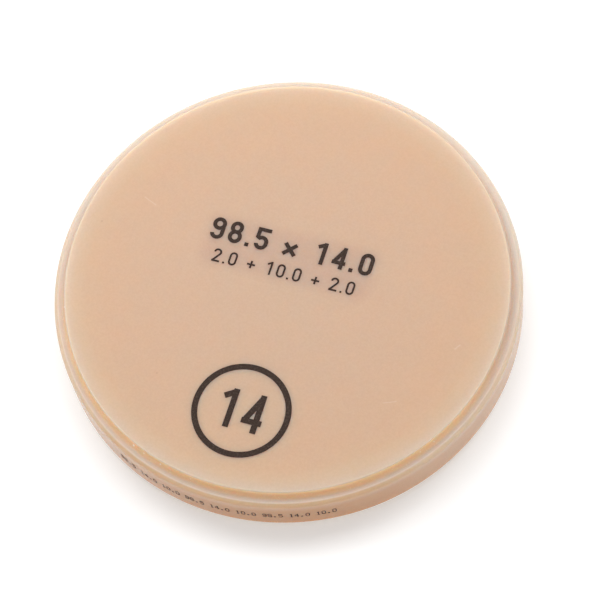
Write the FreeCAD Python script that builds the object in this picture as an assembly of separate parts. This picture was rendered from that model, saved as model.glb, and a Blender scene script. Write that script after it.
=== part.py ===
import FreeCAD, Part

import math
import os

# A milling blank for dental work: one solid round disc of tooth-coloured resin ceramic, from which a
# milling machine cuts crowns and bridges. A wide flange round its middle is what the machine's holder
# grips. Above and below it the disc steps in to a flat face. Dark ink gives the blank's sizes in plain
# figures, on the upper face and round part of the flange's wall. The ink is a film, so it stands as
# thin solids of its own.
# Millimetres. The disc's axis is Z, the lower face lies on Z = 0 and the upper face's figures read along +X.

# Disc
flange_diameter = 98.5
flange_thickness = 10.0
flange_edge_radius = 0.9
ledge_width = 2.5
step_height = 2.0
step_corner_radius = 0.9
face_edge_radius = 0.3

# Ink on the upper face: the size in large figures, its parts in small ones, and the height in a ring
ink_thickness = 0.03
size_figure_height = 5.1
size_figure_width = 2.95
size_stroke = 0.86
size_gap = 1.0
size_baseline_y = 5.45
sum_figure_height = 3.1
sum_figure_width = 1.75
sum_stroke = 0.42
sum_gap = 0.68
sum_baseline_y = 0.35
text_centre_x = -1.2
ring_centre_y = -30.2
ring_diameter = 20.6
ring_line_width = 1.25
ring_figure_height = 8.6
ring_figure_width = 4.3
ring_stroke = 1.25
ring_gap = 1.1

# Ink on the flange's wall
rim_figure_height = 1.9
rim_figure_width = 0.8
rim_stroke = 0.22
rim_pitch = 1.1
rim_centre_deg = -89.0
rim_repeats = 3

# Proportions of the figures, as shares of their width or height
space_width = 0.55
one_stem_x = 0.62
one_flag_x = 0.12
one_flag_y = 0.76
four_stem_x = 0.72
four_bar_y = 0.28
five_bowl_top = 0.64
five_neck_y = 0.5
seven_foot_x = 0.3
eight_waist = 0.52
eight_upper_width = 0.94
nine_loop_foot = 0.42
nine_stem_top = 0.6
cross_width = 0.86
plus_centre_y = 0.42

# Where the curved strokes of the figures end, in degrees
two_tail = 20
three_ends = 160
five_bowl_end = 150
hook_start = 190
hook_turn = 170

# What follows from the driving dimensions
flange_radius = flange_diameter / 2
face_radius = flange_radius - ledge_width
total_height = flange_thickness + 2 * step_height
flange_low_z = step_height
flange_high_z = step_height + flange_thickness
size_text = f"{flange_diameter:.1f} x {total_height:.1f}"
sum_text = f"{step_height:.1f} + {flange_thickness:.1f} + {step_height:.1f}"
ring_text = f"{total_height:.0f}"
rim_group = f"{flange_diameter:.1f} {total_height:.1f} {flange_thickness:.1f}"
rim_text = " ".join([rim_group] * rim_repeats)

# A rounding never takes more than this share of the shorter wall beside it.
rounding_share = 0.45

Z_AXIS = FreeCAD.Vector(0, 0, 1)
ORIGIN = FreeCAD.Vector(0, 0, 0)


def rounding(radius, *walls):
    return min(radius, rounding_share * min(walls))


# Edges through the corners in order, each corner rounded by an arc that is tangent to both its lines.
def rounded_path(corners):
    edges = []
    start = FreeCAD.Vector(corners[0][0], 0, corners[0][1])
    for before, corner, after in zip(corners, corners[1:], corners[2:]):
        here = FreeCAD.Vector(corner[0], 0, corner[1])
        back = (FreeCAD.Vector(before[0], 0, before[1]) - here).normalize()
        ahead = (FreeCAD.Vector(after[0], 0, after[1]) - here).normalize()
        radius = corner[2]
        half_turn = back.getAngle(ahead) / 2
        reach = radius / math.tan(half_turn)
        inward = (back + ahead).normalize()
        arc_middle = here + inward * (radius / math.sin(half_turn) - radius)
        arc_start = here + back * reach
        arc_end = here + ahead * reach
        edges.append(Part.LineSegment(start, arc_start).toShape())
        edges.append(Part.Arc(arc_start, arc_middle, arc_end).toShape())
        start = arc_end
    end = FreeCAD.Vector(corners[-1][0], 0, corners[-1][1])
    edges.append(Part.LineSegment(start, end).toShape())
    return edges


# The whole disc, turned from its half section.
def milling_blank():
    face_edge = rounding(face_edge_radius, step_height, face_radius)
    corner = rounding(step_corner_radius, step_height, ledge_width)
    flange_edge = rounding(flange_edge_radius, flange_thickness, ledge_width)
    section = [
        (0, 0),
        (face_radius, 0, face_edge),
        (face_radius, flange_low_z, corner),
        (flange_radius, flange_low_z, flange_edge),
        (flange_radius, flange_high_z, flange_edge),
        (face_radius, flange_high_z, corner),
        (face_radius, total_height, face_edge),
        (0, total_height),
    ]
    edges = rounded_path(section)
    axis_edge = Part.LineSegment(FreeCAD.Vector(0, 0, total_height), ORIGIN).toShape()
    half_section = Part.Face(Part.Wire(edges + [axis_edge]))
    return half_section.revolve(ORIGIN, Z_AXIS, 360)


# A straight stroke of a figure, square at both ends.
def bar(x0, y0, x1, y1, stroke):
    length = math.hypot(x1 - x0, y1 - y0)
    box = Part.makeBox(length, stroke, ink_thickness, FreeCAD.Vector(0, -stroke / 2, 0))
    box.rotate(ORIGIN, Z_AXIS, math.degrees(math.atan2(y1 - y0, x1 - x0)))
    box.translate(FreeCAD.Vector(x0, y0, 0))
    return box


# A curved stroke about a centre, from one angle on through a turn, in degrees.
def bow(x, y, radius, stroke, start_deg, turn_deg):
    place = FreeCAD.Vector(x, y, 0)
    outer = Part.makeCylinder(radius + stroke / 2, ink_thickness, place, Z_AXIS, turn_deg)
    inner = Part.makeCylinder(radius - stroke / 2, ink_thickness, place, Z_AXIS, turn_deg)
    band = outer.cut(inner)
    band.rotate(place, Z_AXIS, start_deg)
    return band


# A closed oval stroke between two heights: four quarter rings, joined by straight sides where it is
# longer one way than the other.
def oval(width, low, high, stroke):
    half = stroke / 2
    r = (min(width, high - low) - stroke) / 2
    left = half + r
    right = width - half - r
    foot = low + half + r
    head = high - half - r
    strokes = [
        bow(right, head, r, stroke, 0, 90),
        bow(left, head, r, stroke, 90, 90),
        bow(left, foot, r, stroke, 180, 90),
        bow(right, foot, r, stroke, 270, 90),
    ]
    if high - low > width:
        strokes.append(bar(half, foot, half, head, stroke))
        strokes.append(bar(width - half, foot, width - half, head, stroke))
    if width > high - low:
        strokes.append(bar(left, low + half, right, low + half, stroke))
        strokes.append(bar(left, high - half, right, high - half, stroke))
    return strokes


# The strokes of one figure, w wide and h high, with its lower left corner at the origin.
def figure(character, w, h, stroke):
    r = (w - stroke) / 2
    half = stroke / 2
    centre = w / 2
    foot = half + r
    head = h - half - r
    if character == "0":
        return oval(w, 0, h, stroke)
    if character == "1":
        stem = w * one_stem_x
        return [bar(stem, 0, stem, h, stroke), bar(w * one_flag_x, h * one_flag_y, stem, h - half, stroke)]
    if character == "2":
        tail = math.radians(two_tail)
        return [
            bow(centre, head, r, stroke, -two_tail, 180 + two_tail),
            bar(half, half, centre + r * math.cos(tail), head - r * math.sin(tail), stroke),
            bar(0, half, w, half, stroke),
        ]
    if character == "3":
        return [
            bow(centre, head, r, stroke, -90, 90 + three_ends),
            bow(centre, foot, r, stroke, -three_ends, 90 + three_ends),
            bar(centre, foot + r, centre, head - r, stroke),
        ]
    if character == "4":
        stem = w * four_stem_x
        crossbar = h * four_bar_y
        return [
            bar(stem, 0, stem, h, stroke),
            bar(0, crossbar, w, crossbar, stroke),
            bar(half, crossbar, stem, h - half, stroke),
        ]
    if character == "5":
        bowl = h * five_bowl_top - half - r
        return [
            bar(half, h - half, w, h - half, stroke),
            bar(half, h * five_neck_y, half, h, stroke),
            bow(centre, bowl, r, stroke, 0, five_bowl_end),
            bow(centre, foot, r, stroke, hook_start, hook_turn),
            bar(w - half, foot, w - half, bowl, stroke),
        ]
    if character == "6":
        turned = figure("9", w, h, stroke)
        for ink in turned:
            ink.rotate(FreeCAD.Vector(centre, h / 2, 0), Z_AXIS, 180)
        return turned
    if character == "7":
        return [
            bar(0, h - half, w, h - half, stroke),
            bar(w - half, h - half, w * seven_foot_x, half, stroke),
        ]
    if character == "8":
        waist = h * eight_waist
        return oval(w, 0, waist + half, stroke) + oval(w * eight_upper_width, waist - half, h, stroke)
    if character == "9":
        return oval(w, h * nine_loop_foot, h, stroke) + [
            bar(w - half, foot, w - half, h * nine_stem_top, stroke),
            bow(centre, foot, r, stroke, hook_start, hook_turn),
        ]
    if character == "x":
        arm = w * cross_width
        return [bar(0, half, arm, arm + half, stroke), bar(0, arm + half, arm, half, stroke)]
    if character == "+":
        level = h * plus_centre_y
        return [bar(0, level, w, level, stroke), bar(centre, level - centre, centre, level + centre, stroke)]
    return [bar(0, half, stroke, half, stroke)]


# How wide a character stands in its line. A point is as wide as a stroke.
def advance(character, w, stroke):
    widths = {".": stroke, " ": w * space_width}
    return widths.get(character, w)


# A line of figures centred on x, each figure one solid of ink.
def line_of_figures(text, x, y, w, h, stroke, gap):
    length = sum(advance(c, w, stroke) for c in text) + gap * (len(text) - 1)
    left = x - length / 2
    solids = []
    for character in text:
        if character != " ":
            strokes = figure(character, w, h, stroke)
            ink = strokes[0].multiFuse(strokes[1:]).removeSplitter() if len(strokes) > 1 else strokes[0]
            ink.translate(FreeCAD.Vector(left, y, total_height))
            solids.extend(ink.Solids)
        left += advance(character, w, stroke) + gap
    return solids


# The three pieces of print on the upper face.
def face_print():
    size = line_of_figures(
        size_text,
        text_centre_x,
        size_baseline_y,
        size_figure_width,
        size_figure_height,
        size_stroke,
        size_gap,
    )
    heights = line_of_figures(
        sum_text,
        text_centre_x,
        sum_baseline_y,
        sum_figure_width,
        sum_figure_height,
        sum_stroke,
        sum_gap,
    )
    inside = line_of_figures(
        ring_text,
        0,
        ring_centre_y - ring_figure_height / 2,
        ring_figure_width,
        ring_figure_height,
        ring_stroke,
        ring_gap,
    )
    centre = FreeCAD.Vector(0, ring_centre_y, total_height)
    outer = Part.makeCylinder(ring_diameter / 2, ink_thickness, centre)
    inner = Part.makeCylinder(ring_diameter / 2 - ring_line_width, ink_thickness, centre)
    return Part.makeCompound(size + heights + inside + [outer.cut(inner)])


# The bars that each figure on the wall is made of: top, middle and foot, upper and lower right, upper
# and lower left, and the point.
rim_bars = {
    "0": "trRfLl",
    "1": "rR",
    "2": "trmLf",
    "3": "trmRf",
    "4": "lmrR",
    "5": "tlmRf",
    "6": "tlmLRf",
    "7": "trR",
    "8": "trRfLlm",
    "9": "trRflm",
    ".": "p",
}


# One bar of ink that follows the wall, between two distances along it and two heights.
def wall_bar(along_low, along_high, z_low, z_high):
    inner = flange_radius
    outer = flange_radius + ink_thickness
    corners = [(inner, z_low), (outer, z_low), (outer, z_high), (inner, z_high), (inner, z_low)]
    outline = Part.makePolygon([FreeCAD.Vector(r, 0, z) for r, z in corners])
    start_deg = rim_centre_deg + math.degrees(along_low / flange_radius)
    turn_deg = math.degrees((along_high - along_low) / flange_radius)
    solid = Part.Face(outline).revolve(ORIGIN, Z_AXIS, turn_deg)
    solid.rotate(ORIGIN, Z_AXIS, start_deg)
    return solid


# The bars of one figure on the wall, which stop just short of each other.
def wall_figure(character, along):
    w = rim_figure_width
    s = rim_stroke
    low = (total_height - rim_figure_height) / 2
    high = low + rim_figure_height
    middle = total_height / 2
    places = {
        "t": (s, w - s, high - s, high),
        "m": (s, w - s, middle - s / 2, middle + s / 2),
        "f": (s, w - s, low, low + s),
        "r": (w - s, w, middle + s / 2, high),
        "R": (w - s, w, low, middle - s / 2),
        "l": (0, s, middle + s / 2, high),
        "L": (0, s, low, middle - s / 2),
        "p": ((w - s) / 2, (w + s) / 2, low, low + s),
    }
    bars = [places[name] for name in rim_bars[character]]
    return [wall_bar(along + a, along + b, z0, z1) for a, b, z0, z1 in bars]


# The row of figures round part of the flange's wall, in the middle of its height.
def rim_print():
    along = -(len(rim_text) * rim_pitch) / 2
    solids = []
    for character in rim_text:
        if character != " ":
            solids.extend(wall_figure(character, along))
        along += rim_pitch
    return Part.makeCompound(solids)


def main():
    os.makedirs("parts", exist_ok=True)
    nodes = {
        "milling_blank": milling_blank(),
        "face_print": face_print(),
        "rim_print": rim_print(),
    }
    for name, shape in nodes.items():
        shape.exportStep("parts/" + name + ".step")
        print(name, len(shape.Solids), "solids", round(shape.Volume, 3), "mm3", "valid", shape.isValid())


main()
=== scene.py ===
import math

import bpy
from mathutils import Matrix, Vector


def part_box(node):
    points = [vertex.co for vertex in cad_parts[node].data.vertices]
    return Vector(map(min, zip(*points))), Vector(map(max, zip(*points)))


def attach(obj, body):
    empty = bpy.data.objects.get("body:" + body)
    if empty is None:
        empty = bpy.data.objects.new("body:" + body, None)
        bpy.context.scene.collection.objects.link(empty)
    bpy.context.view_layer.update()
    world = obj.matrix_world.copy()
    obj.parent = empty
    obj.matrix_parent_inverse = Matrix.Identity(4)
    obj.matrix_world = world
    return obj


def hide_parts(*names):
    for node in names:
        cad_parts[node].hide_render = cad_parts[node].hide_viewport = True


# A round milling blank of tooth-coloured resin ceramic, lying on a white table.
# Metres. The disc's axis is Z and its lower face lies on the table at Z = 0.
mm = 0.001

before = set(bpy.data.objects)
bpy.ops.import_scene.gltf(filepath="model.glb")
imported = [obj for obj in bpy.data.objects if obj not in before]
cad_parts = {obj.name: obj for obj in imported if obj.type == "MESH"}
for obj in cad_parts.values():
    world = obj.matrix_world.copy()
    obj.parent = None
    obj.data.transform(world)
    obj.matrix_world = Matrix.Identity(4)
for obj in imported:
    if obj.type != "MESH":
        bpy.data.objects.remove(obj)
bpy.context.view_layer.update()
discLow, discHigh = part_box("milling_blank")
print("frame loaded, disc", round(discHigh.x * 2 / mm, 2), "mm across")


# A node's output that can stand in ordinary sums
class Signal:
    def __init__(self, recipe, socket):
        self.recipe = recipe
        self.socket = socket

    def sum(self, operation, *values):
        return self.recipe.node("ShaderNodeMath", {"operation": operation}, dict(enumerate(values)))

    def __add__(self, other):
        return self.sum("ADD", self, other)

    def __radd__(self, other):
        return self.sum("ADD", other, self)

    def __sub__(self, other):
        return self.sum("SUBTRACT", self, other)

    def __rsub__(self, other):
        return self.sum("SUBTRACT", other, self)

    def __mul__(self, other):
        return self.sum("MULTIPLY", self, other)

    def __rmul__(self, other):
        return self.sum("MULTIPLY", other, self)

    def __truediv__(self, other):
        return self.sum("DIVIDE", self, other)

    def distance(self, other):
        return self.sum("ABSOLUTE", self - other)

    def root(self):
        return self.sum("SQRT", self)

    def sine(self):
        return self.sum("SINE", self)

    def cosine(self):
        return self.sum("COSINE", self)

    def most(self, other):
        return self.sum("MAXIMUM", self, other)

    # 0 below the first edge, 1 above the second, with an eased step between them
    def step(self, first, second):
        settings = {"interpolation_type": "SMOOTHSTEP"}
        sockets = {"Value": self, "From Min": first, "From Max": second}
        return self.recipe.node("ShaderNodeMapRange", settings, sockets)

    # 1 at the middle, fading to 0 at the reach on both sides
    def hump(self, middle, reach):
        return 1 - self.distance(middle).step(0.0, reach)


# A node tree in the making: a node is asked for by its type, its settings and its sockets' values
class Recipe:
    def __init__(self, tree):
        self.tree = tree

    def node(self, kind, settings=None, sockets=None, out=0):
        made = self.tree.nodes.new(kind)
        for name, value in (settings or {}).items():
            if name == "stops":
                self.setStops(made.color_ramp, value)
            else:
                setattr(made, name, value)
        for key, value in (sockets or {}).items():
            if isinstance(value, Signal):
                self.tree.links.new(value.socket, made.inputs[key])
            else:
                made.inputs[key].default_value = value
        return Signal(self, made.outputs[out]) if len(made.outputs) else None

    def setStops(self, ramp, stops):
        while len(ramp.elements) < len(stops):
            ramp.elements.new(0.5)
        for element, (place, colour) in zip(ramp.elements, stops):
            element.position = place
            element.color = (*colour, 1.0)

    # Sockets 6 and 7 and output 2 are the node's colour ones
    def mixColour(self, share, first, second, blend="MIX"):
        settings = {"data_type": "RGBA", "blend_type": blend}
        return self.node("ShaderNodeMix", settings, {0: share, 6: first, 7: second}, out=2)

    def noise(self, place, scale, detail=2.0):
        return self.node("ShaderNodeTexNoise", None, {"Vector": place, "Scale": scale, "Detail": detail})

    def vector(self, operation, *values, out=0):
        return self.node("ShaderNodeVectorMath", {"operation": operation}, dict(enumerate(values)), out)

    # One of a place's three parts: 0 for X, 1 for Y, 2 for Z
    def part(self, place, index):
        return self.node("ShaderNodeSeparateXYZ", None, {0: place}, out=index)

    # A number between limits, drawn for each point. Sockets 2 and 3 and output 1 are the decimal ones.
    def draw(self, low, high, seed):
        return self.node("FunctionNodeRandomValue", None, {2: low, 3: high, "Seed": seed}, out=1)

    # Tilts the surface to a height field, in which 1 stands one reach above 0
    def bump(self, field, strength, reach):
        return self.node("ShaderNodeBump", None, {"Height": field, "Strength": strength, "Distance": reach})

    # Multiplies a colour by a tint, as far as the share says
    def tint(self, share, colour, tone):
        return self.mixColour(share, colour, tone, "MULTIPLY")

    def finish(self, shader):
        self.node("ShaderNodeOutputMaterial", None, {"Surface": shader})


def newMaterial(name):
    material = bpy.data.materials.new(name)
    material.use_nodes = True
    material.node_tree.nodes.clear()
    return material, Recipe(material.node_tree)


def rgb(red, green, blue):
    return (red, green, blue, 1.0)


# The place on the piece, in millimetres. Output 3 is the piece's own coordinates.
def placeInMillimetres(recipe):
    place = recipe.node("ShaderNodeTexCoord", out=3)
    return recipe.node("ShaderNodeVectorMath", {"operation": "SCALE"}, {"Vector": place, "Scale": 1 / mm})


# The camera looks down on the disc from the side that the figures face, tilted a little to the left.
cameraPlan = {
    "elevation": math.radians(64.73),
    "roll": math.radians(-10.87),
    "turn": math.radians(27.3025),
    "distance": 492 * mm,
    "pixelsPerMetre": 4736,
    "frameSide": 600,
    "discColumn": 288.9,
    "discRow": 295.0,
    "sensor": 36.0,
}


def addCamera(plan):
    level, tilt = math.cos(plan["roll"]), math.sin(plan["roll"])
    up, out = math.sin(plan["elevation"]), math.cos(plan["elevation"])
    turned = Matrix.Rotation(plan["turn"], 3, "Z")
    right = turned @ Vector((level, tilt * up, tilt * out))
    down = turned @ Vector((tilt, -level * up, -level * out))
    ahead = turned @ Vector((0, out, -up))
    middle = plan["frameSide"] / 2
    place = (discLow + discHigh) / 2 - ahead * plan["distance"]
    place -= right * ((plan["discColumn"] - middle) / plan["pixelsPerMetre"])
    place -= down * ((plan["discRow"] - middle) / plan["pixelsPerMetre"])
    data = bpy.data.cameras.new("camera")
    data.sensor_width = plan["sensor"]
    data.lens = plan["pixelsPerMetre"] * plan["distance"] * plan["sensor"] / plan["frameSide"]
    camera = bpy.data.objects.new("camera", data)
    camera.matrix_world = Matrix.Translation(place) @ Matrix((right, -down, -ahead)).transposed().to_4x4()
    bpy.context.scene.collection.objects.link(camera)
    bpy.context.scene.camera = camera


addCamera(cameraPlan)
print("camera placed")


# A wide white table in a white room, with three soft lamps behind the disc: one on each side, and a higher
# one between them. Turn is a lamp's azimuth and rise its elevation, in degrees, as seen from the disc.
studio = {
    "tableSide": 40.0,
    "tableColour": rgb(0.80, 0.80, 0.80),
    "tableRoughness": 0.9,
    "tableSpecular": 0.1,
    "tableGlow": 0.27,
    "white": rgb(1, 1, 1),
    "roomGlow": 0.62,
    "lights": (
        {"name": "sideLightRight", "turn": 54, "rise": 50, "distance": 0.75, "side": 0.3, "power": 1.3},
        {"name": "sideLightLeft", "turn": 158, "rise": 50, "distance": 0.75, "side": 0.3, "power": 1.3},
        {"name": "backLight", "turn": 117, "rise": 63, "distance": 0.5, "side": 0.4, "power": 1.24},
    ),
}


def addStudio(plan):
    half = plan["tableSide"] / 2
    corners = [(-half, -half, 0), (half, -half, 0), (half, half, 0), (-half, half, 0)]
    mesh = bpy.data.meshes.new("table")
    mesh.from_pydata(corners, [], [(0, 1, 2, 3)])
    table = bpy.data.objects.new("table", mesh)
    bpy.context.scene.collection.objects.link(table)
    material, recipe = newMaterial("tablePaper")
    sockets = {
        "Base Color": plan["tableColour"],
        "Roughness": plan["tableRoughness"],
        "Specular IOR Level": plan["tableSpecular"],
        "Emission Color": plan["white"],
        "Emission Strength": plan["tableGlow"],
    }
    recipe.finish(recipe.node("ShaderNodeBsdfPrincipled", None, sockets))
    mesh.materials.append(material)

    world = bpy.data.worlds.new("room")
    bpy.context.scene.world = world
    world.use_nodes = True
    background = world.node_tree.nodes["Background"]
    background.inputs["Color"].default_value = plan["white"]
    background.inputs["Strength"].default_value = plan["roomGlow"]

    for light in plan["lights"]:
        data = bpy.data.lights.new(light["name"], "AREA")
        data.size = light["side"]
        data.energy = light["power"]
        lamp = bpy.data.objects.new(light["name"], data)
        turn, rise = math.radians(light["turn"]), math.radians(light["rise"])
        out = Vector((math.cos(turn) * math.cos(rise), math.sin(turn) * math.cos(rise), math.sin(rise)))
        lamp.location = out * light["distance"]
        lamp.rotation_euler = out.to_track_quat("Z", "Y").to_euler()
        bpy.context.scene.collection.objects.link(lamp)
    bpy.context.scene.view_settings.view_transform = "Standard"


addStudio(studio)
print("studio lit")


# The blank: a half section with rounded corners, swept round the axis
blank = {
    "flangeRadius": discHigh.x,
    "height": discHigh.z,
    "ledgeWidth": 2.5 * mm,
    "stepHeight": 2.0 * mm,
    "flangeEdge": 0.9 * mm,
    "stepCorner": 0.9 * mm,
    "faceEdge": 0.3 * mm,
    "support": 0.06 * mm,
    "faceRings": (12 * mm, 24 * mm, 36 * mm, 44 * mm),
    "around": 480,
    "roundingSteps": 7,
    "weld": 0.001 * mm,
}
blank["faceRadius"] = blank["flangeRadius"] - blank["ledgeWidth"]


# The section's points as (radius, height, rounding), from the lower pole to the upper one. A plain point
# on each side of a rounding keeps the flats flat under smooth shading.
def sectionPoints(size):
    inner, outer = size["faceRadius"], size["flangeRadius"]
    lowLedge, highLedge = size["stepHeight"], size["height"] - size["stepHeight"]
    corners = [
        (0, 0, 0),
        (inner, 0, size["faceEdge"]),
        (inner, lowLedge, size["stepCorner"]),
        (outer, lowLedge, size["flangeEdge"]),
        (outer, highLedge, size["flangeEdge"]),
        (inner, highLedge, size["stepCorner"]),
        (inner, size["height"], size["faceEdge"]),
        (0, size["height"], 0),
    ]
    points = [corners[0]]
    points += [(ring, 0, 0) for ring in size["faceRings"]]
    for before, here, after in zip(corners, corners[1:], corners[2:]):
        corner = Vector(here[:2])
        reach = here[2] + size["support"]
        back = (Vector(before[:2]) - corner).normalized()
        ahead = (Vector(after[:2]) - corner).normalized()
        points.append((*(corner + back * reach), 0))
        points.append(here)
        points.append((*(corner + ahead * reach), 0))
    points += [(ring, size["height"], 0) for ring in reversed(size["faceRings"])]
    return points + [corners[-1]]


# The section as a bare wire. The sweep lays its +Y along -Z, so heights go in negative.
def sectionMesh(size):
    points = sectionPoints(size)
    mesh = bpy.data.meshes.new("section")
    edges = [(i, i + 1) for i in range(len(points) - 1)]
    mesh.from_pydata([(radius, -height, 0) for radius, height, rounding in points], edges, [])
    roundings = mesh.attributes.new("rounding", "FLOAT", "POINT")
    roundings.data.foreach_set("value", [rounding for radius, height, rounding in points])
    return mesh


# A geometry tree with named inputs, returned with the inputs' sockets by name
def geometryTree(name, inputs):
    tree = bpy.data.node_groups.new(name, "GeometryNodeTree")
    tree.interface.new_socket("Geometry", in_out="INPUT", socket_type="NodeSocketGeometry")
    for label, kind in inputs.items():
        tree.interface.new_socket(label, in_out="INPUT", socket_type=kind)
    tree.interface.new_socket("Geometry", in_out="OUTPUT", socket_type="NodeSocketGeometry")
    recipe = Recipe(tree)
    entry = tree.nodes.new("NodeGroupInput")
    given = {socket.name: Signal(recipe, socket) for socket in entry.outputs if socket.name}
    return tree, recipe, given


# Gives the geometry real copies and its material, and ends the tree
def endTree(recipe, geometry, material):
    real = recipe.node("GeometryNodeRealizeInstances", None, {"Geometry": geometry})
    finished = recipe.node("GeometryNodeSetMaterial", None, {"Geometry": real, "Material": material})
    recipe.node("NodeGroupOutput", None, {"Geometry": finished})


# Runs a tree on a mesh with the given input values and keeps the result as a plain mesh object
def runTree(name, mesh, tree, values):
    host = bpy.data.objects.new(name, mesh)
    bpy.context.scene.collection.objects.link(host)
    modifier = host.modifiers.new(tree.name, "NODES")
    modifier.node_group = tree
    for item in tree.interface.items_tree:
        if item.in_out == "INPUT" and item.name in values:
            modifier[item.identifier] = values[item.name]
    evaluated = host.evaluated_get(bpy.context.evaluated_depsgraph_get())
    result = bpy.data.meshes.new_from_object(evaluated)
    result.name = name
    # Copies of a bare mesh leave an empty material slot in front of the tree's own
    for slot in reversed(range(len(result.materials))):
        if result.materials[slot] is None:
            result.materials.pop(index=slot)
    host.modifiers.remove(modifier)
    host.data = result
    return host


# Rounds a section's corners, sweeps it round the axis and turns its faces outward
def sweepTree():
    inputs = {
        "Around": "NodeSocketInt",
        "Rounding Steps": "NodeSocketInt",
        "Sweep Radius": "NodeSocketFloat",
        "Weld": "NodeSocketFloat",
        "Material": "NodeSocketMaterial",
    }
    tree, recipe, given = geometryTree("sweptSection", inputs)
    rounding = recipe.node("GeometryNodeInputNamedAttribute", {"data_type": "FLOAT"}, {"Name": "rounding"})
    outline = recipe.node("GeometryNodeMeshToCurve", None, {"Mesh": given["Geometry"]})
    sockets = {"Curve": outline, "Count": given["Rounding Steps"], "Radius": rounding}
    section = recipe.node("GeometryNodeFilletCurve", {"mode": "POLY"}, sockets)
    inward = recipe.node("ShaderNodeCombineXYZ", None, {"X": 0 - given["Sweep Radius"]})
    section = recipe.node("GeometryNodeSetPosition", None, {"Geometry": section, "Offset": inward})
    sockets = {"Resolution": given["Around"], "Radius": given["Sweep Radius"]}
    circle = recipe.node("GeometryNodeCurvePrimitiveCircle", {"mode": "RADIUS"}, sockets)
    swept = recipe.node("GeometryNodeCurveToMesh", None, {"Curve": circle, "Profile Curve": section})
    sockets = {"Geometry": swept, "Distance": given["Weld"]}
    welded = recipe.node("GeometryNodeMergeByDistance", None, sockets)
    outward = recipe.node("GeometryNodeFlipFaces", None, {"Mesh": welded})
    smooth = recipe.node("GeometryNodeSetShadeSmooth", None, {"Geometry": outward})
    endTree(recipe, smooth, given["Material"])
    return tree


# The blank's colours and finish. Lengths are in millimetres, except scatterScale and bumpReach. The upper
# face's colours go by distance from the axis: greyest in the middle, warmest a little inside the edge, and
# pale at the edge, a painted glow of the light that comes in from the side as well. faceFoot and
# shoulderShare are in shares of the face's and the flange's rounding. The ranges for the hollow corner's
# painted glow and the wall's painted shade, and farSide, go by the side: 1 is where the edge faces the
# azimuth that they favour, and -1 where it faces away. The ranges of grain, clouds and sparks are of noise.
resin = {
    "faceColours": (
        (0.0, (0.528, 0.353, 0.236)),
        (20.0, (0.540, 0.352, 0.232)),
        (38.0, (0.559, 0.356, 0.225)),
        (42.0, (0.566, 0.368, 0.231)),
        (44.5, (0.565, 0.397, 0.260)),
        (46.0, (0.551, 0.412, 0.308)),
        (50.0, (0.551, 0.412, 0.308)),
    ),
    "rampEnd": 50.0,
    "faceFoot": (2.2, 0.8),
    # Painted glow in the hollow corner: the orange of light scattered and bounced there, brighter at the
    # near side
    "grooveGlowColour": rgb(0.650, 0.510, 0.380),
    "grooveNearGlowColour": rgb(0.800, 0.612, 0.372),
    "grooveEnds": (0.3, 1.25),
    "ledgeColour": rgb(0.585, 0.452, 0.362),
    # Painted highlights along the face's rounded edge and the ledge's turn, on the near side
    "edgeHighlightColour": rgb(0.68, 0.58, 0.53),
    "edgeHighlightShare": 0.3,
    "edgeHighlightInset": 0.05,
    "edgeHighlightReach": 0.22,
    "roundingDepth": 0.15,
    "roundingReach": 0.3,
    "roundingInsets": (0.4, 0.1),
    # Painted shade on the far side of the face's rounded edge, against the back lamps' highlight there
    "farEdgeShadeTone": rgb(0.77, 0.76, 0.83),
    # Painted glow on the far ledges, where the back lamps' light comes through the thin flange
    "farGlowColour": rgb(0.55, 0.472, 0.405),
    "farSide": (-0.5, 0.5),
    "shoulderColour": rgb(0.572, 0.435, 0.325),
    "shoulderShare": 0.6,
    # Painted shade on the wall: browner towards the foot and warmer at the near side
    "wallShadeColour": rgb(0.570, 0.335, 0.185),
    "wallShadeFade": (8.6, 12.2),
    "wallNearShadeTone": rgb(0.97, 0.87, 0.75),
    # The azimuth where the corner's painted glow and the wall's painted shade are strongest
    "paintedLightAzimuth": math.radians(-84),
    "grooveNearGlow": (0.0, 0.6),
    "wallNearShade": (0.64, 0.9),
    "faceRoughness": 0.5,
    "wallRoughness": 0.22,
    "glossInsets": (0.15, 0.01),
    "scatterWeight": 1.0,
    "scatterRadius": (1.0, 0.62, 0.40),
    "scatterScale": 7.0 * mm,
    "grainTone": rgb(0.955, 0.945, 0.935),
    "grainPerMm": 2.4,
    "grainRange": (0.25, 0.75),
    "cloudTone": rgb(0.975, 1.0, 1.02),
    "cloudPerMm": 0.16,
    "cloudRange": (0.3, 0.7),
    "sparkTone": rgb(0.86, 0.74, 0.58),
    "sparksPerMm": 3.2,
    "sparkDetail": 1.0,
    "sparkRange": (0.64, 0.74),
    "sparkShare": 0.6,
    "topDepths": (0.02, 0.005),
    # Painted shade round the figures, where the ink holds back light in the resin
    "inkShadeTone": rgb(0.92, 0.89, 0.93),
    "haloInset": 1.6,
    "haloReach": 4.2,
    "textFoot": 0.35,
    "turningPitch": 0.42,
    "turningShare": 0.12,
    "turningTone": rgb(0.965, 0.955, 0.94),
    "bumpStrength": 0.25,
    "bumpReach": 0.02 * mm,
}

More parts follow.
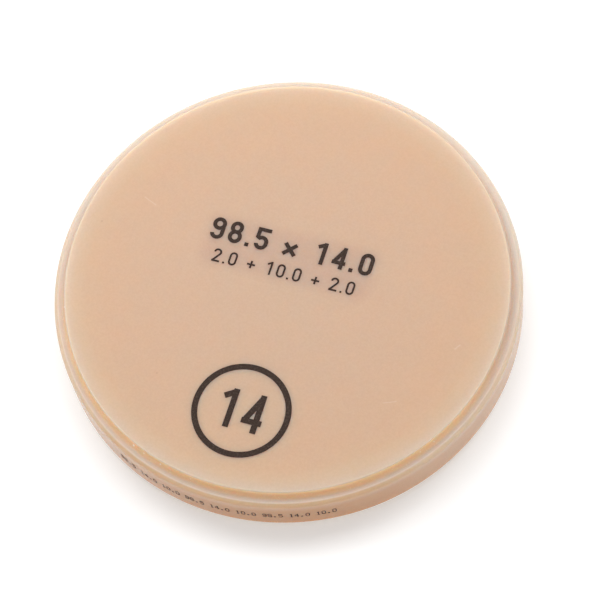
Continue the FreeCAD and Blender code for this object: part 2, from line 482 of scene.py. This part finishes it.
# Small marks on the upper face and in the step's hollow corner, in millimetres: scratches by their two
# ends and half width, dark specks by place and radius, pale spots by azimuth in degrees and radius. A mark
# fades out between the two shares of its size that its softness gives.
marks = {
    "scratches": (
        ((-35.1, 10.9), (-32.2, 9.7), 0.10),
        ((38.1, -5.55), (38.85, -4.45), 0.14),
        ((27.4, -20.9), (29.8, -19.9), 0.10),
    ),
    "scratchTone": rgb(0.66, 0.54, 0.42),
    "scratchShare": 0.28,
    "scratchSoftness": (0.4, 1.6),
    "specks": (
        ((-42.15, 3.07), 0.22),
        ((-19.4, -27.0), 0.2),
        ((3.05, -6.55), 0.13),
        ((-21.55, -13.55), 0.12),
    ),
    "speckTone": rgb(0.42, 0.27, 0.17),
    "speckShare": 0.6,
    "speckSoftness": (0.4, 1.4),
    "paleSpots": (
        (-158.3, 0.28),
        (-114.2, 0.32),
        (-110.8, 0.18),
        (-105.6, 0.22),
        (-97.0, 0.16),
        (-37.3, 0.18),
        (-33.0, 0.16),
    ),
    "paleSpotRadius": 46.9,
    "paleSpotHeight": 12.3,
    "paleSpotTone": rgb(0.88, 0.82, 0.76),
    "paleSpotSoftness": (0.4, 1.2),
}


# How far a point lies outside a box with the given corners, in millimetres, on the flat
def outsideBox(recipe, x, y, low, high):
    across = (x.distance((low[0] + high[0]) / 2) - (high[0] - low[0]) / 2).most(0)
    along = (y.distance((low[1] + high[1]) / 2) - (high[1] - low[1]) / 2).most(0)
    return (across * across + along * along).root()


# Distance from a straight scratch, in millimetres, on the flat
def fromScratch(x, y, start, end):
    length = math.dist(start, end)
    east, north = (end[0] - start[0]) / length, (end[1] - start[1]) / length
    run = (x - start[0]) * east + (y - start[1]) * north
    side = (x - start[0]) * north - (y - start[1]) * east
    past = (run.distance(length / 2) - length / 2).most(0)
    return (side * side + past * past).root()


# How far a mark of the given size covers a point that lies the given distance from its middle
def markShare(away, size, softness):
    return 1 - away.step(size * softness[0], size * softness[1])


# Lays the small marks over the colour: scratches and specks on the upper face, pale spots in the hollow
# corner
def addMarks(recipe, colour, place, x, y, onTop, marks):
    for start, end, halfWidth in marks["scratches"]:
        share = markShare(fromScratch(x, y, start, end), halfWidth, marks["scratchSoftness"]) * onTop
        colour = recipe.mixColour(share * marks["scratchShare"], colour, marks["scratchTone"])
    for (east, north), size in marks["specks"]:
        away = ((x - east) * (x - east) + (y - north) * (y - north)).root()
        share = markShare(away, size, marks["speckSoftness"]) * onTop
        colour = recipe.mixColour(share * marks["speckShare"], colour, marks["speckTone"])
    for degrees, size in marks["paleSpots"]:
        turn = math.radians(degrees)
        reach = marks["paleSpotRadius"]
        centre = (reach * math.cos(turn), reach * math.sin(turn), marks["paleSpotHeight"])
        away = recipe.vector("DISTANCE", place, centre, out=1)
        colour = recipe.mixColour(markShare(away, size, marks["paleSpotSoftness"]), colour, marks["paleSpotTone"])
    return colour


def resinCeramic(look, marks, size):
    material, recipe = newMaterial("resinCeramic")
    place = placeInMillimetres(recipe)
    x, y, z = (recipe.part(place, index) for index in range(3))
    flat = recipe.node("ShaderNodeCombineXYZ", None, {"X": x, "Y": y})
    radius = recipe.vector("LENGTH", flat, out=1)
    halfHeight = size["height"] / 2 / mm
    height = z.distance(halfHeight)
    faceRadius = size["faceRadius"] / mm
    flangeRadius = size["flangeRadius"] / mm
    faceEdge = size["faceEdge"] / mm
    flangeEdge = size["flangeEdge"] / mm

    # The face, the ledges below it and the hollow corner between them. The corner's orange is a painted glow
    # of light scattered and bounced there, brightest at the near side, with a few painted sparks of light in
    # it
    stops = [(at / look["rampEnd"], colour) for at, colour in look["faceColours"]]
    colour = recipe.node("ShaderNodeValToRGB", {"stops": stops}, {"Fac": radius / look["rampEnd"]})
    footStart, footEnd = (halfHeight - faceEdge * depth for depth in look["faceFoot"])
    belowFace = 1 - height.step(footStart, footEnd)
    colour = recipe.mixColour(belowFace, colour, look["ledgeColour"])
    grooveStart, grooveEnd = look["grooveEnds"]
    inGroove = belowFace * (1 - radius.step(faceRadius + grooveStart, faceRadius + grooveEnd))
    east, north = math.cos(look["paintedLightAzimuth"]), math.sin(look["paintedLightAzimuth"])
    toNear = (x * east + y * north) / radius.most(1)
    nearGlowShare = toNear.step(*look["grooveNearGlow"])
    grooveGlow = recipe.mixColour(nearGlowShare, look["grooveGlowColour"], look["grooveNearGlowColour"])
    colour = recipe.mixColour(inGroove, colour, grooveGlow)
    # Painted glints: pale sparks of light in the hollow corner
    sparks = recipe.noise(place, look["sparksPerMm"], look["sparkDetail"]).step(*look["sparkRange"])
    colour = recipe.mixColour(sparks * inGroove * look["sparkShare"], colour, look["sparkTone"])

    # Painted highlights: thin pale lines on the near side, along the face's rounded edge and where the ledge
    # turns down
    farSide = 1 - toNear.step(*look["farSide"])
    roundingStart, roundingEnd = (faceRadius - inset for inset in look["roundingInsets"])
    faceRounding = height.hump(halfHeight - look["roundingDepth"], look["roundingReach"])
    faceRounding *= radius.step(roundingStart, roundingEnd)
    ledgeTurn = radius.hump(flangeRadius - flangeEdge - look["edgeHighlightInset"], look["edgeHighlightReach"])
    edgeHighlights = (faceRounding + ledgeTurn) * (1 - farSide)
    colour = recipe.mixColour(edgeHighlights * look["edgeHighlightShare"], colour, look["edgeHighlightColour"])
    # Painted shade on the far side of the face's rounded edge, against the back lamps' highlight there
    colour = recipe.tint(faceRounding * farSide, colour, look["farEdgeShadeTone"])

    # The flange's rounded edge, tan, and its wall, with painted shade that makes it browner towards the foot
    # and warmest at the near side
    onEdge = radius.step(flangeRadius - flangeEdge, flangeRadius - flangeEdge * look["shoulderShare"])
    colour = recipe.mixColour(onEdge, colour, look["shoulderColour"])
    # Painted glow on the far ledges, where the back lamps' light comes through the thin flange
    colour = recipe.mixColour(farSide * belowFace * (1 - inGroove), colour, look["farGlowColour"])
    wallShade = (1 - z.step(*look["wallShadeFade"])) * onEdge
    colour = recipe.mixColour(wallShade, colour, look["wallShadeColour"])
    colour = recipe.tint(toNear.step(*look["wallNearShade"]) * onEdge, colour, look["wallNearShadeTone"])

    # Painted shade round the figures on the upper face, where the ink holds back light in the resin, then
    # grain and soft clouds all over
    topStart, topEnd = (size["height"] / mm - depth for depth in look["topDepths"])
    onTop = z.step(topStart, topEnd)
    printLow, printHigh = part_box("face_print")
    inset = look["haloInset"]
    textLow = (printLow.x / mm + inset, look["textFoot"] + inset)
    textHigh = (printHigh.x / mm - inset, printHigh.y / mm - inset)
    inkShade = (1 - outsideBox(recipe, x, y, textLow, textHigh).step(0.0, look["haloReach"])) * onTop
    colour = recipe.tint(inkShade, colour, look["inkShadeTone"])
    grain = recipe.noise(place, look["grainPerMm"])
    colour = recipe.tint(grain.step(*look["grainRange"]), colour, look["grainTone"])
    clouds = recipe.noise(place, look["cloudPerMm"]).step(*look["cloudRange"])
    colour = recipe.tint(clouds, colour, look["cloudTone"])

    # Fine rings left by turning, outside the ground face: by radius on the ledge, by height on the wall
    turning = ((radius + z) * (math.tau / look["turningPitch"])).sine() * belowFace
    colour = recipe.tint(turning.step(0.0, 1.0) * (1 - inGroove), colour, look["turningTone"])
    colour = addMarks(recipe, colour, place, x, y, onTop, marks)

    glossStart, glossEnd = (flangeRadius - inset for inset in look["glossInsets"])
    gloss = radius.step(glossStart, glossEnd)
    relief = grain + turning * look["turningShare"]
    sockets = {
        "Base Color": colour,
        "Roughness": look["faceRoughness"] + (look["wallRoughness"] - look["faceRoughness"]) * gloss,
        "Normal": recipe.bump(relief, look["bumpStrength"], look["bumpReach"]),
        "Subsurface Weight": look["scatterWeight"],
        "Subsurface Radius": look["scatterRadius"],
        "Subsurface Scale": look["scatterScale"],
    }
    recipe.finish(recipe.node("ShaderNodeBsdfPrincipled", None, sockets))
    return material


def makeBlank(size, look, marks):
    values = {
        "Around": size["around"],
        "Rounding Steps": size["roundingSteps"],
        "Sweep Radius": size["flangeRadius"],
        "Weld": size["weld"],
        "Material": resinCeramic(look, marks, size),
    }
    piece = runTree("millingBlank", sectionMesh(size), sweepTree(), values)
    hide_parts("milling_blank")
    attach(piece, "root")
    return piece


millingBlank = makeBlank(blank, resin, marks)
print("blank swept,", len(millingBlank.data.polygons), "faces")


# Ink: a printed film on the face, and a row of jetted dots on the wall that fades towards its start
ink = {
    "colour": rgb(0.034, 0.020, 0.014),
    "wornColour": rgb(0.066, 0.045, 0.036),
    "wornPerMm": 2.5,
    "wornDetail": 4.0,
    "wornRange": (0.45, 0.75),
    "jetColour": rgb(0.022, 0.015, 0.014),
    "jetDetail": 3.0,
    "jetRange": (0.35, 0.7),
    "fadedColour": rgb(0.26, 0.175, 0.13),
    "fadedShares": (0.4, 0.6),
    "fadeFrom": -8.0,
    "fadeTo": -24.0,
    "roughness": 0.6,
    "specular": 0.1,
}

# The row on the wall: three times the blank's width, height and flange thickness
wallRow = {
    "words": " ".join(3 * ["98.5 14.0 10.0"]),
    "centreAngle": math.radians(-89.0),
    "pitch": 1.1 * mm,
    "columnPitch": 0.17 * mm,
    "rowPitch": 0.26 * mm,
    "middleLine": 3,
    "dotRadius": 0.115 * mm,
    "filmUnder": 0.02 * mm,
    "filmOver": 0.03 * mm,
    "drift": 0.014 * mm,
    "sizes": (0.8, 1.08),
    "sides": 10,
    "seed": 14,
}

# Which dots of a grid five across and seven high each sign is made of, row by row from the top
dotSigns = {
    "0": "01110 10001 10001 10001 10001 10001 01110",
    "1": "00100 01100 00100 00100 00100 00100 01110",
    "4": "00010 00110 01010 10010 11111 00010 00010",
    "5": "11111 10000 11110 00001 00001 10001 01110",
    "8": "01110 10001 10001 01110 10001 10001 01110",
    "9": "01110 10001 10001 01111 00001 10001 01110",
    ".": "00000 00000 00000 00000 00000 01100 01100",
}


# The row laid out flat, one loose point for each dot: X along the wall from the row's middle, Z upwards
def dotMesh(row, middleHeight):
    points = []
    for place, sign in enumerate(row["words"]):
        start = (place - len(row["words"]) / 2) * row["pitch"] + row["dotRadius"]
        for line, dots in enumerate(dotSigns.get(sign, "").split()):
            height = middleHeight + (row["middleLine"] - line) * row["rowPitch"]
            columns = [column for column, dot in enumerate(dots) if dot == "1"]
            points += [(start + column * row["columnPitch"], 0, height) for column in columns]
    mesh = bpy.data.meshes.new("dotRow")
    mesh.from_pydata(points, [], [])
    return mesh


# The azimuth of the point that a tree is working on
def facingAngle(recipe):
    place = recipe.node("GeometryNodeInputPosition")
    x, y = recipe.part(place, 0), recipe.part(place, 1)
    return y.sum("ARCTAN2", y, x)


# Bends a flat row of points round the wall and puts a thin round dot of ink on each. A quarter turn lays the
# dot's axis level, and the point's azimuth then turns it outward.
def dotTree():
    inputs = {
        "Film Radius": "NodeSocketFloat",
        "Film Depth": "NodeSocketFloat",
        "Centre Angle": "NodeSocketFloat",
        "Dot Radius": "NodeSocketFloat",
        "Sides": "NodeSocketInt",
        "Drift": "NodeSocketFloat",
        "Smallest": "NodeSocketFloat",
        "Largest": "NodeSocketFloat",
        "Seed": "NodeSocketInt",
        "Material": "NodeSocketMaterial",
    }
    tree, recipe, given = geometryTree("inkDots", inputs)
    place = recipe.node("GeometryNodeInputPosition")
    along = recipe.part(place, 0) + recipe.draw(-1.0, 1.0, given["Seed"]) * given["Drift"]
    height = recipe.part(place, 2) + recipe.draw(-1.0, 1.0, given["Seed"] + 1) * given["Drift"]
    angle = given["Centre Angle"] + along / given["Film Radius"]
    east, north = angle.cosine() * given["Film Radius"], angle.sine() * given["Film Radius"]
    bent = recipe.node("ShaderNodeCombineXYZ", None, {"X": east, "Y": north, "Z": height})
    moved = recipe.node("GeometryNodeSetPosition", None, {"Geometry": given["Geometry"], "Position": bent})
    sockets = {"Vertices": given["Sides"], "Radius": given["Dot Radius"], "Depth": given["Film Depth"]}
    dot = recipe.node("GeometryNodeMeshCylinder", None, sockets)
    facing = recipe.node("ShaderNodeCombineXYZ", None, {"Y": math.pi / 2, "Z": facingAngle(recipe)})
    size = recipe.draw(given["Smallest"], given["Largest"], given["Seed"] + 2)
    spread = recipe.node("ShaderNodeCombineXYZ", None, {"X": size, "Y": size, "Z": 1.0})
    turned = recipe.node("FunctionNodeEulerToRotation", None, {"Euler": facing})
    sockets = {"Points": moved, "Instance": dot, "Rotation": turned, "Scale": spread}
    endTree(recipe, recipe.node("GeometryNodeInstanceOnPoints", None, sockets), given["Material"])
    return tree


# Ends an ink's recipe with a matt surface
def finishInk(recipe, colour, look):
    sockets = {"Base Color": colour, "Roughness": look["roughness"], "Specular IOR Level": look["specular"]}
    recipe.finish(recipe.node("ShaderNodeBsdfPrincipled", None, sockets))


def jettedInk(look):
    material, recipe = newMaterial("jettedInk")
    place = placeInMillimetres(recipe)
    worn = recipe.noise(place, look["wornPerMm"], look["jetDetail"]).step(*look["jetRange"])
    faded = 1 - recipe.part(place, 0).step(look["fadeTo"], look["fadeFrom"])
    evenShare, wornShare = look["fadedShares"]
    fading = faded * (evenShare + worn * wornShare)
    finishInk(recipe, recipe.mixColour(fading, look["jetColour"], look["fadedColour"]), look)
    return material


def makeWallRow(row, look, size):
    values = {
        "Film Radius": size["flangeRadius"] + (row["filmOver"] - row["filmUnder"]) / 2,
        "Film Depth": row["filmOver"] + row["filmUnder"],
        "Centre Angle": row["centreAngle"],
        "Dot Radius": row["dotRadius"],
        "Sides": row["sides"],
        "Drift": row["drift"],
        "Smallest": row["sizes"][0],
        "Largest": row["sizes"][1],
        "Seed": row["seed"],
        "Material": jettedInk(look),
    }
    piece = runTree("wallFigures", dotMesh(row, size["height"] / 2), dotTree(), values)
    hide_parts("rim_print")
    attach(piece, "root")
    return piece


wallFigures = makeWallRow(wallRow, ink, blank)
print("wall figures jetted,", len(wallFigures.data.polygons), "faces")


def printedInk(look):
    material, recipe = newMaterial("printedInk")
    place = placeInMillimetres(recipe)
    worn = recipe.noise(place, look["wornPerMm"], look["wornDetail"]).step(*look["wornRange"])
    finishInk(recipe, recipe.mixColour(worn, look["colour"], look["wornColour"]), look)
    return material


inkFilm = printedInk(ink)
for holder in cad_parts["face_print"].material_slots:
    holder.material = inkFilm
print("face figures inked")
